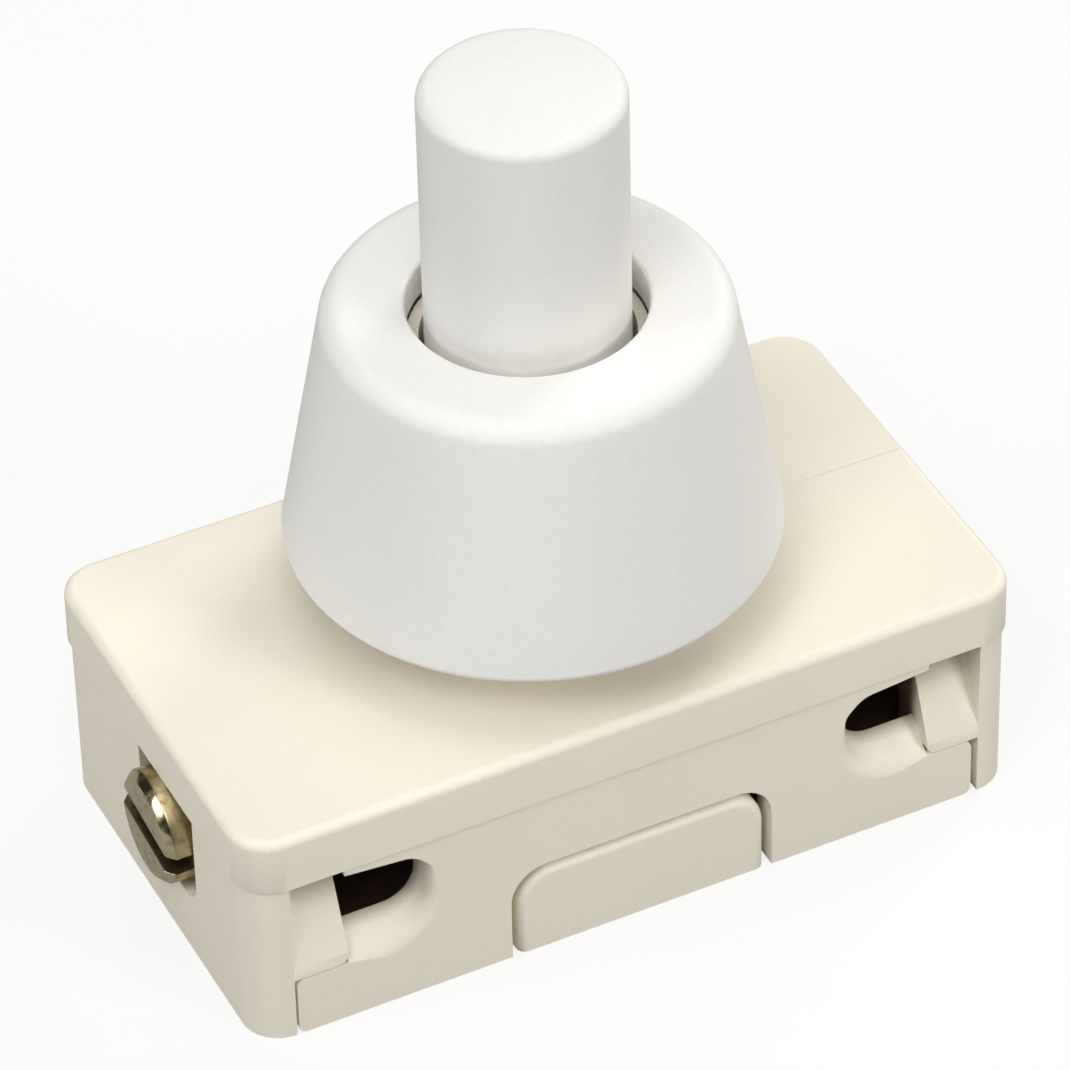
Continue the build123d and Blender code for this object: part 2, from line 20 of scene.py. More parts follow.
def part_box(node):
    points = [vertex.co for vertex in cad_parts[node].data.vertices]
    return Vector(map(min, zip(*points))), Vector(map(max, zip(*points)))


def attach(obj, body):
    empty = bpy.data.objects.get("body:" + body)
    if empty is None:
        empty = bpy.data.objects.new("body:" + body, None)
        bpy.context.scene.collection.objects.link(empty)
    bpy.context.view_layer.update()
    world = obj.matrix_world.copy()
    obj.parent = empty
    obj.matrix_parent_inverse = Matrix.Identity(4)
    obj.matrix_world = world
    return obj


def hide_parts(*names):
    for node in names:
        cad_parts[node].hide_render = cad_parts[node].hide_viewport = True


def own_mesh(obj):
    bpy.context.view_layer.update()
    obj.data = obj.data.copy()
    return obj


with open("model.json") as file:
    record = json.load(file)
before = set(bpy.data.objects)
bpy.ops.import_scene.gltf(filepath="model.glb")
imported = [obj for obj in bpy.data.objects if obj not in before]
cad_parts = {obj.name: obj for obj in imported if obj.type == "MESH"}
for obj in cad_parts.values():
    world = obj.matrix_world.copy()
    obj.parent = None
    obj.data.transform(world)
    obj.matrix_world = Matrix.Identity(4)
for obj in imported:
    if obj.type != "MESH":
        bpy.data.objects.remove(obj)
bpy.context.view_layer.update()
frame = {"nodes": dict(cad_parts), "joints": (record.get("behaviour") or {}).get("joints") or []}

LOG = logging.getLogger("push_button_switch")
MM = 0.001

Colour = tuple[float, float, float]
Point = tuple[float, float]
Span = tuple[float, float]
SocketKey = Union[int, str]

WHITE: Colour = (1.0, 1.0, 1.0)
NOISE_MIDDLE = 0.5

# Numbers of a Mix node's sockets for colours
MIX_SHARE = 0
MIX_FIRST = 6
MIX_SECOND = 7
MIX_RESULT = 2


class Slot(Enum):
    """Material slots of the record."""

    IVORY = "ivory_moulding"
    WHITE = "white_moulding"
    ROTOR = "rotor_moulding"
    SPRING = "spring_steel"
    BRASS = "brass_strip"
    SILVER = "contact_silver"
    NICKEL = "nickel_plate"


class Body(Enum):
    """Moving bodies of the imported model."""

    HOUSING = "housing"
    BUTTON = "button"
    ROTOR = "rotor"
    NUT = "nut"
    LEFT_CLAMP = "left_clamp"
    LEFT_SCREW = "left_screw"
    RIGHT_CLAMP = "right_clamp"
    RIGHT_SCREW = "right_screw"


class Signal:
    """A number, colour or vector that runs through a node tree.

    Arithmetic on it adds Math nodes, so a mask reads as a plain formula.
    """

    def __init__(self, graph: "Graph", socket: bpy.types.NodeSocket) -> None:
        """Hold one output socket.

        Args:
            graph: The node tree that it runs through.
            socket: The output that carries the signal.
        """
        self.graph = graph
        self.socket = socket

    def _math(self, operation: str, *values: Union["Signal", float]) -> "Signal":
        """Add a Math node on the given values."""
        made = self.graph.node("ShaderNodeMath", {"operation": operation}, dict(enumerate(values)))
        return Signal(self.graph, made.outputs[0])

    def __add__(self, other: Union["Signal", float]) -> "Signal":
        """Sum with a signal or a number."""
        return self._math("ADD", self, other)

    def __sub__(self, other: Union["Signal", float]) -> "Signal":
        """Difference from a signal or a number."""
        return self._math("SUBTRACT", self, other)

    def __rsub__(self, other: float) -> "Signal":
        """A number less this signal."""
        return self._math("SUBTRACT", other, self)

    def __mul__(self, other: Union["Signal", float]) -> "Signal":
        """Product with a signal or a number."""
        return self._math("MULTIPLY", self, other)

    __radd__ = __add__
    __rmul__ = __mul__

    def __abs__(self) -> "Signal":
        """Size of this signal, without its sign."""
        return self._math("ABSOLUTE", self)

    def sine(self) -> "Signal":
        """Sine of this signal, in radians."""
        return self._math("SINE", self)

    def ramp(self, low: float, high: float) -> "Signal":
        """Smooth step from 0 at low to 1 at high.

        Args:
            low: Value that gives 0.
            high: Value that gives 1; it may be the lower of the two.

        Returns:
            The stepped signal.
        """
        made = self.graph.node(
            "ShaderNodeMapRange",
            {"interpolation_type": "SMOOTHSTEP"},
            {"Value": self, "From Min": low, "From Max": high},
        )
        return Signal(self.graph, made.outputs["Result"])


class Graph:
    """The node tree of the world, or of a material."""

    def __init__(self, tree: bpy.types.NodeTree) -> None:
        """Start with an empty tree.

        Args:
            tree: The node tree.
        """
        self.tree = tree
        self.tree.nodes.clear()

    def node(
        self,
        kind: str,
        settings: Optional[dict[str, object]] = None,
        links: Optional[dict[SocketKey, object]] = None,
    ) -> bpy.types.Node:
        """Add one node.

        Args:
            kind: Type name of the node.
            settings: Properties of the node, set first.
            links: Values, signals or sockets for the inputs, by name or number.

        Returns:
            The new node.
        """
        made = self.tree.nodes.new(kind)
        for key, value in (settings or {}).items():
            setattr(made, key, value)
        for key, value in (links or {}).items():
            self.feed(made.inputs[key], value)
        return made

    def vector(self, operation: str, *values: object) -> bpy.types.Node:
        """Add a Vector Math node on the given values."""
        return self.node("ShaderNodeVectorMath", {"operation": operation}, dict(enumerate(values)))

    def feed(self, socket: bpy.types.NodeSocket, value: object) -> None:
        """Set or link one input.

        Args:
            socket: The input.
            value: A signal or an output socket to link, or a plain value.
        """
        if isinstance(value, Signal):
            value = value.socket
        if isinstance(value, bpy.types.NodeSocket):
            self.tree.links.new(value, socket)
        else:
            socket.default_value = value

    def blend(
        self, share: Union[Signal, float], first: Union[Signal, Colour], second: Union[Signal, Colour],
    ) -> Signal:
        """Mix two colours.

        Args:
            share: Share of the second colour.
            first: Linear colour at 0.
            second: Linear colour at 1.

        Returns:
            The mixed colour.
        """
        first, second = (c if isinstance(c, Signal) else (*c, 1) for c in (first, second))
        made = self.node(
            "ShaderNodeMix", {"data_type": "RGBA"}, {MIX_SHARE: share, MIX_FIRST: first, MIX_SECOND: second})
        return Signal(self, made.outputs[MIX_RESULT])

    def seen_rays(self) -> Signal:
        """1 for rays that come straight from the camera or through clear matter.

        Returns:
            The mask.
        """
        path = self.node("ShaderNodeLightPath")
        seen = self.node("ShaderNodeMath", {"operation": "MAXIMUM"}, {
            0: path.outputs["Is Camera Ray"], 1: path.outputs["Is Transmission Ray"]})
        return Signal(self, seen.outputs[0])


class SurfaceGraph(Graph):
    """The node tree of one material, with one Principled shader at its end."""

    def __init__(self, name: str) -> None:
        """Start an empty material.

        Args:
            name: Name of the material.
        """
        self.material = bpy.data.materials.new(name)
        self.material.use_nodes = True
        super().__init__(self.material.node_tree)
        self.shader = self.node("ShaderNodeBsdfPrincipled")
        self.end = self.node("ShaderNodeOutputMaterial", links={"Surface": self.shader.outputs["BSDF"]})
        self.place = Signal(self, self.node("ShaderNodeTexCoord").outputs["Object"])

    def set(self, **inputs: object) -> None:
        """Feed the shader's inputs; an underscore stands for a space in a name."""
        for key, value in inputs.items():
            self.feed(self.shader.inputs[key.replace("_", " ")], value)

    def noise(
        self, size: float, detail: float, stretch: Sequence[float] = (1, 1, 1), roughness: float = 0.55,
    ) -> Signal:
        """Cloudy noise from 0 to 1 about the middle.

        Args:
            size: Size of its largest features.
            detail: Number of finer octaves.
            stretch: How much finer it is along X, Y and Z.
            roughness: Strength of each octave beside the one before.

        Returns:
            The noise value.
        """
        made = self.node("ShaderNodeTexNoise", {"noise_dimensions": "3D"}, {
            "Vector": self.vector("MULTIPLY", self.place, tuple(stretch)).outputs[0],
            "Scale": 1 / size, "Detail": detail, "Roughness": roughness})
        return Signal(self, made.outputs["Fac"])

    def within(self, half: Point, low: float, high: float, fade: float) -> Signal:
        """1 inside a box that is centred on X and Y, fading to 0 at its walls.

        Args:
            half: Half length and half width of the box.
            low: Lowest height of the box.
            high: Greatest height of the box.
            fade: Width of the fade, inwards.

        Returns:
            The mask.
        """
        parts = self.node("ShaderNodeSeparateXYZ", links={0: self.place})
        x, y, z = (Signal(self, socket) for socket in parts.outputs)
        across = abs(x).ramp(half[0], half[0] - fade) * abs(y).ramp(half[1], half[1] - fade)
        return across * z.ramp(low, low + fade) * z.ramp(high, high - fade)

    def specks(self, size: float) -> Signal:
        """Distance to the nearest of many scattered points, in cells.

        Args:
            size: Mean distance between the points.

        Returns:
            The distance, 0 at a point.
        """
        made = self.node("ShaderNodeTexVoronoi", {"feature": "F1"}, {"Vector": self.place, "Scale": 1 / size})
        return Signal(self, made.outputs["Distance"])

    def relief(self, height: Signal, depth: float) -> Signal:
        """Turn a height from 0 to 1 into a surface normal.

        Args:
            height: The relief.
            depth: Real depth of the relief.

        Returns:
            The bent normal.
        """
        made = self.node("ShaderNodeBump", links={"Height": height, "Distance": depth})
        return Signal(self, made.outputs["Normal"])


def linear(red: int, green: int, blue: int) -> Colour:
    """Linear colour of an sRGB one.

    Args:
        red: Red from 0 to 255.
        green: Green from 0 to 255.
        blue: Blue from 0 to 255.

    Returns:
        The linear colour.
    """
    shares = (channel / 255 for channel in (red, green, blue))
    return tuple(c / 12.92 if c <= 0.04045 else ((c + 0.055) / 1.055) ** 2.4 for c in shares)


def shaded(colour: Colour, factor: float) -> Colour:
    """The colour with each channel multiplied by a factor."""
    return tuple(channel * factor for channel in colour)


@dataclass(frozen=True)
class PaintedHollowShade:
    """The closed inside of the body, whose walls get painted shade: a dark colour that stands in for the
    little light that reaches them.
    """

    half: Point = (14.4 * MM, 8.0 * MM)
    low: float = 0.4 * MM
    high: float = 8.9 * MM
    fade: float = 0.8 * MM
    # Colour of the painted shade on the inside walls
    colour: Colour = (0.17, 0.105, 0.075)


@dataclass(frozen=True)
class MouldedPlastic:
    """Satin moulding: cloudy colour, faint specks, a fine grain and a soft sheen.

    A share says how far a mark goes towards the dulled colour, a span where it starts and
    ends, and a gloss how far it moves the roughness.
    """

    name: str
    colour: Colour
    roughness: float
    grain_size: float
    grain_depth: float
    grain_span: Span = (0.35, 0.75)
    grain_share: float = 0.05
    grain_gloss: float = 0.18
    ripple_ratio: float = 9.0
    ripple_share: float = 0.6
    cloud_size: float = 4.0 * MM
    cloud_span: Span = (0.35, 0.7)
    cloud_share: float = 0.03
    cloud_gloss: float = 0.12
    speck_size: float = 0.9 * MM
    speck_span: Span = (0.02, 0.10)
    speck_share: float = 0.02
    dulled: float = 0.4
    shine: float = 0.35
    refraction: float = 1.5
    # Painted shade for the closed inside of the body, if any
    hollow: Optional[PaintedHollowShade] = None

    def build(self) -> bpy.types.Material:
        """Make the material.

        Returns:
            The new material.
        """
        graph = SurfaceGraph(self.name)
        cloud = graph.noise(self.cloud_size, detail=3)
        grain = graph.noise(self.grain_size, detail=3)
        ripple = graph.noise(self.grain_size * self.ripple_ratio, detail=1)
        speck = 1 - graph.specks(self.speck_size).ramp(*self.speck_span)
        dull = cloud.ramp(*self.cloud_span) * self.cloud_share + speck * self.speck_share
        dull = dull + grain.ramp(*self.grain_span) * self.grain_share
        colour = graph.blend(dull, self.colour, shaded(self.colour, self.dulled))
        # Painted shade: walls inside the closed body are blended towards a dark colour where little light
        # reaches
        if self.hollow:
            inside = graph.within(self.hollow.half, self.hollow.low, self.hollow.high, self.hollow.fade)
            colour = graph.blend(inside, colour, self.hollow.colour)
        sheen = (cloud - NOISE_MIDDLE) * self.cloud_gloss + (grain - NOISE_MIDDLE) * self.grain_gloss
        graph.set(
            Base_Color=colour,
            Roughness=sheen + self.roughness,
            Normal=graph.relief(grain + ripple * self.ripple_share, self.grain_depth),
            Specular_IOR_Level=self.shine,
            IOR=self.refraction,
        )
        return graph.material


@dataclass(frozen=True)
class PlatedScrew:
    """Bright plated steel with turned rings about the screw's axis, dull patches and a dark brown slot.

    A share says how far a mark goes towards its own colour or height, a span where it
    starts and ends, and a dulling how much it adds to the roughness.
    """

    name: str
    colour: Colour
    tarnish: Colour
    roughness: float
    axis_y: float
    axis_z: float
    ring_pitch: float = 0.09 * MM
    ring_share: float = 0.5
    ring_depth: float = 0.0005 * MM
    wander_size: float = 0.6 * MM
    wander_turn: float = 5.0
    patch_size: float = 0.45 * MM
    patch_span: Span = (0.45, 0.72)
    patch_share: float = 0.5
    patch_dulling: float = 0.16
    pit_size: float = 0.08 * MM
    pit_span: Span = (0.5, 0.8)
    pit_share: float = 0.8
    pit_dulling: float = 0.10
    side_radius: float = 2.2 * MM
    side_fade: float = 0.04 * MM
    side_share: float = 0.45
    side_dulling: float = 0.2
    slot_half: float = 0.44 * MM
    slot_fade: float = 0.01 * MM
    slot_tilt: float = 8.0
    slot_dulling: float = 0.3
    slot_brown: Colour = (0.085, 0.055, 0.028)
    slot_brown_least: float = 0.6
    slot_brown_spread: float = 0.5

    def build(self) -> bpy.types.Material:
        """Make the material.

        Returns:
            The new material.
        """
        graph = SurfaceGraph(self.name)
        centred = graph.vector("SUBTRACT", graph.place, (0.0, self.axis_y, self.axis_z)).outputs[0]
        flat = graph.vector("MULTIPLY", centred, (0.0, 1.0, 1.0)).outputs[0]
        reach = Signal(graph, graph.vector("LENGTH", flat).outputs["Value"])
        wander = graph.noise(self.wander_size, detail=2)
        turn = reach * (math.tau / self.ring_pitch) + wander * self.wander_turn
        rings = turn.sine() * 0.5 + 0.5
        patches = graph.noise(self.patch_size, detail=4)
        pits = graph.noise(self.pit_size, detail=2)
        tilt = math.radians(self.slot_tilt)
        across = (0.0, -math.sin(tilt), math.cos(tilt))
        offset = Signal(graph, graph.vector("DOT_PRODUCT", centred, across).outputs["Value"])
        slot = abs(offset).ramp(self.slot_half, self.slot_half - self.slot_fade)
        side = reach.ramp(self.side_radius, self.side_radius + self.side_fade)
        stain = patches.ramp(*self.patch_span)
        plated = graph.blend(stain * self.patch_share + side * self.side_share, self.colour, self.tarnish)
        # The slot is coloured a darker brown, unevenly across its length
        slot_browning = slot * (patches * self.slot_brown_spread + self.slot_brown_least)
        worn = stain * self.patch_dulling + pits.ramp(*self.pit_span) * self.pit_dulling
        graph.set(
            Base_Color=graph.blend(slot_browning, plated, self.slot_brown),
            Metallic=1.0,
            Roughness=worn + side * self.side_dulling + slot * self.slot_dulling + self.roughness,
            Normal=graph.relief(rings * self.ring_share + pits * self.pit_share, self.ring_depth),
        )
        return graph.material


@dataclass(frozen=True)
class BareMetal:
    """Drawn or rolled metal with grain along one direction and a light tarnish.

    A span says where the tarnish starts and ends, a share how far it goes, and a gloss how
    far a mark moves the roughness.
    """

    name: str
    colour: Colour
    tarnish: Colour
    roughness: float
    stretch: tuple[float, float, float] = (1.0, 8.0, 8.0)
    streak_size: float = 0.5 * MM
    streak_depth: float = 0.002 * MM
    streak_gloss: float = 0.25
    patch_size: float = 1.6 * MM
    patch_span: Span = (0.4, 0.75)
    patch_share: float = 0.7
    patch_gloss: float = 0.1

    def build(self) -> bpy.types.Material:
        """Make the material.

        Returns:
            The new material.
        """
        graph = SurfaceGraph(self.name)
        streaks = graph.noise(self.streak_size, detail=4, stretch=self.stretch)
        patches = graph.noise(self.patch_size, detail=3)
        sheen = (streaks - NOISE_MIDDLE) * self.streak_gloss + patches * self.patch_gloss
        dull = patches.ramp(*self.patch_span) * self.patch_share
        graph.set(
            Base_Color=graph.blend(dull, self.colour, self.tarnish),
            Metallic=1.0,
            Roughness=sheen + self.roughness,
            Normal=graph.relief(streaks, self.streak_depth),
        )
        return graph.material


@dataclass(frozen=True)
class EdgeBreak:
    """How far the sharp edges of a piece are rounded."""

    width: float
    segments: int = 2
    least_angle: float = 32.0


@dataclass
class Assembly:
    """Common work of the sub-assemblies: carrying solids over and dressing them."""

    finishes: dict[Slot, bpy.types.Material]
    weld: float = 0.0005 * MM
    flat_angle: float = 0.35

    def dress(self, piece: bpy.types.Object, slot: Slot, body: Body, *nodes: str) -> None:
        """Give a finished mesh its material and its body.

        Args:
            piece: The mesh object.
            slot: Material slot that it takes.
            body: Body that it rides on.
            nodes: Solids that it stands for.
        """
        piece.data.materials.clear()
        piece.data.materials.append(self.finishes[slot])
        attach(piece, body.value)
        if nodes:
            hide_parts(*nodes)
        LOG.info("%s: %d faces, rides on %s", piece.name, len(piece.data.polygons), body.value)

    def joined(self, node: str) -> bmesh.types.BMesh:
        """Copy a solid's mesh, with its flat facets joined.

        Args:
            node: Name of the solid.

        Returns:
            The mesh in the making.
        """
        shape = bmesh.new()
        shape.from_mesh(frame["nodes"][node].data)
        bmesh.ops.remove_doubles(shape, verts=shape.verts, dist=self.weld)
        bmesh.ops.dissolve_limit(
            shape, angle_limit=math.radians(self.flat_angle), verts=shape.verts, edges=shape.edges)
        return shape

    def softened(
        self, node: str, edge: EdgeBreak, reshape: Optional[Callable[[bmesh.types.BMesh], None]] = None,
    ) -> bpy.types.Object:
        """Copy a solid's mesh and round its sharp edges.

        Args:
            node: Name of the solid.
            edge: Size of the rounding.
            reshape: Finer work on the mesh, done first.

        Returns:
            The new piece, not yet dressed.
        """
        shape = self.joined(node)
        if reshape:
            reshape(shape)
        piece = new_piece(node + "_dressed", shape)
        bevel = piece.modifiers.new("edges", "BEVEL")
        bevel.width = edge.width
        bevel.segments = edge.segments
        bevel.limit_method = "ANGLE"
        bevel.angle_limit = math.radians(edge.least_angle)
        bevel.use_clamp_overlap = True
        bake_modifiers(piece)
        return smooth(piece, edge.least_angle)


def new_piece(name: str, shape: bmesh.types.BMesh) -> bpy.types.Object:
    """Make an object of a mesh in the making, and link it to the scene.

    Args:
        name: Name of the piece.
        shape: The mesh in the making, which is freed.

    Returns:
        The new object.
    """
    mesh = bpy.data.meshes.new(name)
    shape.to_mesh(mesh)
    shape.free()
    piece = bpy.data.objects.new(name, mesh)
    bpy.context.scene.collection.objects.link(piece)
    return piece


def bake_modifiers(piece: bpy.types.Object) -> None:
    """Apply all the modifiers of a piece to its mesh.

    Args:
        piece: The piece, changed in place.
    """
    seen = piece.evaluated_get(bpy.context.evaluated_depsgraph_get())
    final = bpy.data.meshes.new_from_object(seen)
    piece.modifiers.clear()
    piece.data = final


def smooth(piece: bpy.types.Object, sharp_angle: float) -> bpy.types.Object:
    """Shade a piece smoothly, with its large faces kept flat.

    Args:
        piece: The piece.
        sharp_angle: Angle in degrees over which an edge stays sharp.

    Returns:
        The same piece.
    """
    piece.data.shade_smooth()
    piece.data.set_sharp_from_angle(angle=math.radians(sharp_angle))
    weighted = piece.modifiers.new("normals", "WEIGHTED_NORMAL")
    weighted.keep_sharp = True
    bake_modifiers(piece)
    return piece


def rounded_outline(corners: Iterable[tuple[float, float, float]], steps: int = 8) -> list[Point]:
    """Outline with some of its corners rounded.

    Args:
        corners: Radius, height and rounding of each corner in turn.
        steps: Segments in each rounding.

    Returns:
        Points of the closed outline.
    """
    corners = list(corners)
    points: list[Point] = []
    for index, (r, z, rounding) in enumerate(corners):
        here = Vector((r, z))
        if rounding <= 0:
            points.append((r, z))
            continue
        before = (Vector(corners[index - 1][:2]) - here).normalized()
        after = (Vector(corners[(index + 1) % len(corners)][:2]) - here).normalized()
        half = before.angle(after) / 2
        centre = here + (before + after).normalized() * (rounding / math.sin(half))
        start = here + before * (rounding / math.tan(half)) - centre
        finish = here + after * (rounding / math.tan(half)) - centre
        for step in range(steps + 1):
            share = step / steps
            spoke = start.lerp(finish, share).normalized() * rounding
            points.append(tuple(centre + spoke))
    return points


def turned(radius: float, turn: float, height: float) -> tuple[float, float, float]:
    """Point at a radius, an angle in radians and a height about the Z axis."""
    return (radius * math.cos(turn), radius * math.sin(turn), height)


def lathed(outline: Sequence[Point], segments: int) -> bmesh.types.BMesh:
    """Closed outline swept about the Z axis.

    Args:
        outline: Closed outline of radius and height; points of radius 0 lie on the axis.
        segments: Segments round the axis.

    Returns:
        The mesh in the making.
    """
    shape = bmesh.new()
    poles = {index: shape.verts.new((0, 0, z)) for index, (r, z) in enumerate(outline) if r == 0}
    rings = []
    for step in range(segments):
        turn = math.tau * step / segments
        rings.append([
            poles.get(index) or shape.verts.new(turned(r, turn, z))
            for index, (r, z) in enumerate(outline)])
    for step, ring in enumerate(rings):
        beside = rings[(step + 1) % segments]
        for index in range(len(outline)):
            following = (index + 1) % len(outline)
            corners = dict.fromkeys((ring[index], beside[index], beside[following], ring[following]))
            if len(corners) > 2:
                shape.faces.new(tuple(corners))
    bmesh.ops.recalc_face_normals(shape, faces=shape.faces)
    return shape


def skinned(rings: Iterable[Sequence[Sequence[float]]]) -> bmesh.types.BMesh:
    """Closed tube through a row of rings.

    Args:
        rings: Rings with as many points each, one after the other.

    Returns:
        The mesh in the making.
    """
    shape = bmesh.new()
    previous: list[bmesh.types.BMVert] = []
    for points in rings:
        ring = [shape.verts.new(point) for point in points]
        if previous:
            for index in range(len(ring)):
                following = (index + 1) % len(ring)
                shape.faces.new((previous[index], ring[index], ring[following], previous[following]))
        else:
            shape.faces.new(ring)
        previous = ring
    shape.faces.new(previous[::-1])
    bmesh.ops.recalc_face_normals(shape, faces=shape.faces)
    return shape


def arc(centre: Point, radius: float, first: float, last: float, steps: int = 8) -> list[Point]:
    """Points along an arc, both ends included.

    Args:
        centre: Centre of the arc.
        radius: Its radius.
        first: Angle where it starts, in radians.
        last: Angle where it ends, in radians.
        steps: Segments along it.

    Returns:
        The points.
    """
    angles = (first + (last - first) * step / steps for step in range(steps + 1))
    return [(centre[0] + radius * math.cos(a), centre[1] + radius * math.sin(a)) for a in angles]


@dataclass
class SwitchBody(Assembly):
    """The two ivory mouldings and the fine thread on the neck.

    A mouth's spine is the line that its lip flares away from: its X, and its lowest and
    highest Z. The flare fades out towards the corner post and towards the mouth's top.
    """

    edge: EdgeBreak = EdgeBreak(width=0.09 * MM)
    touch: float = 0.004 * MM
    cover_top: float = 9.8 * MM
    step_y: float = 0.25 * MM
    step_depth: float = 0.10 * MM
    step_run: float = 0.18 * MM
    wall_y: float = 8.7 * MM
    wall_skin: float = 0.002 * MM
    bowl_depth: float = 1.15 * MM
    bowl_low_z: float = 2.0 * MM
    lip_z: float = 7.4 * MM
    mouth_inner_x: float = 8.55 * MM
    mouth_outer_x: float = 12.1 * MM
    mouth_top_z: float = 6.4 * MM
    mouth_spine: tuple[float, float, float] = (10.75 * MM, 4.76 * MM, 5.6 * MM)
    mouth_round: float = 0.40 * MM
    mouth_steps: int = 5
    ring_weld: float = 0.001 * MM
    post_fade: float = 0.9 * MM
    top_fade: float = 1.2 * MM
    least_reach: float = 0.1 * MM
    pitch: float = 1.0 * MM
    crest_radius: float = 4.93 * MM
    core_radius: float = 4.40 * MM
    crest_width: float = 0.16 * MM
    root_width: float = 0.72 * MM
    thread_top: float = 21.35 * MM
    thread_crease: float = 60.0
    run_out: float = 0.6
    first_rise: float = 0.12
    steps_per_turn: int = 72

    def build(self) -> None:
        """Build the mouldings and the thread."""
        upper = self.softened("upper_housing", self.edge, self.refine_cover)
        self.dress(upper, Slot.IVORY, Body.HOUSING, "upper_housing")
        self.dress(self.softened("base_housing", self.edge), Slot.IVORY, Body.HOUSING, "base_housing")
        thread = new_piece("neck_thread", skinned(self.thread_sections()))
        self.dress(smooth(thread, self.thread_crease), Slot.IVORY, Body.HOUSING)

    def refine_cover(self, shape: bmesh.types.BMesh) -> None:
        """Ease the cover's rear step into a slope and flare the lips of the wire mouths.

        Args:
            shape: Mesh of the upper housing, changed in place.
        """
        self.ease_step(shape)
        for step in range(self.mouth_steps):
            share = 1 - math.sin(math.pi / 2 * step / self.mouth_steps)
            self.cut_bowls(shape, self.mouth_round * share)
        flared = {vert for face in shape.faces if self.in_bowl(face) for vert in face.verts}
        for vert in flared:
            self.flare(vert)
        LOG.info("mouth lips: %d vertices flared", len(flared))

    def ease_step(self, shape: bmesh.types.BMesh) -> None:
        """Turn the upright face of the cover's rear step into a slope.

        Args:
            shape: Mesh of the upper housing, changed in place.
        """
        lowest = self.cover_top - self.step_depth - self.touch
        for vert in shape.verts:
            x, y, z = vert.co
            if abs(y - self.step_y) < self.touch and x > 0 and z > lowest:
                vert.co.y += self.step_run * (self.cover_top - z) / self.step_depth

    def cut_bowls(self, shape: bmesh.types.BMesh, depth: float) -> None:
        """Cut a ring into the wall of each wire mouth.

        Args:
            shape: Mesh of the upper housing, changed in place.
            depth: Depth of the ring below the outer wall.
        """
        for side in (-1, 1):
            faces = [face for face in shape.faces if self.in_bowl(face) and face.verts[0].co.y * side > 0]
            edges = dict.fromkeys(edge for face in faces for edge in face.edges)
            verts = dict.fromkeys(vert for face in faces for vert in face.verts)
            bmesh.ops.bisect_plane(
                shape, geom=[*verts, *edges, *faces], dist=self.ring_weld,
                plane_co=(0, side * (self.wall_y - depth), 0), plane_no=(0, side, 0))

    def in_bowl(self, face: bmesh.types.BMFace) -> bool:
        """Whether a face is part of the flared wall of a wire mouth.

        Args:
            face: The face.

        Returns:
            True if it is.
        """
        middle = face.calc_center_median()
        along = self.mouth_inner_x < abs(middle.x) < self.mouth_outer_x
        upright = self.bowl_low_z < middle.z < self.lip_z
        return along and upright and (
            self.wall_y - self.bowl_depth < abs(middle.y) < self.wall_y - self.wall_skin)

    def flare(self, vert: bmesh.types.BMVert) -> None:
        """Move a vertex of a mouth's wall outwards, so that the lip ends in a soft round.

        Args:
            vert: The vertex.
        """
        x, y, z = abs(vert.co.x), abs(vert.co.y), vert.co.z
        depth = max(0.0, self.wall_y - y)
        if depth >= self.mouth_round:
            return
        centre_x, low_z, high_z = self.mouth_spine
        away = Vector((x - max(x, centre_x), z - min(max(z, low_z), high_z)))
        if away.length < self.least_reach:
            return
        rise = self.mouth_round - math.sqrt(self.mouth_round**2 - (self.mouth_round - depth)**2)
        fade = min(1.0, max(0.0, (self.mouth_outer_x - x) / self.post_fade))
        fade *= min(1.0, max(0.0, (self.mouth_top_z - z) / self.top_fade))
        shift = away.normalized() * rise * fade
        vert.co.x += shift.x if vert.co.x > 0 else -shift.x
        vert.co.z += shift.y

    def thread_sections(self) -> Iterator[list[tuple[float, float, float]]]:
        """Sections of the helical ridge that winds up the neck and runs out at both ends.

        Yields:
            The four corners of each section.
        """
        foot = self.cover_top + self.root_width
        turns = (self.thread_top - foot) / self.pitch
        for step in range(int(turns * self.steps_per_turn) + 1):
            travelled = step / self.steps_per_turn
            rise = min(1.0, min(travelled, turns - travelled) / self.run_out)
            share = self.first_rise + (1 - self.first_rise) * rise
            crest = self.core_radius + (self.crest_radius - self.core_radius) * share
            z = foot + travelled * self.pitch
            yield [turned(radius, math.tau * travelled, height) for radius, height in (
                (self.core_radius, z - self.root_width / 2),
                (crest, z - self.crest_width / 2),
                (crest, z + self.crest_width / 2),
                (self.core_radius, z + self.root_width / 2),
            )]


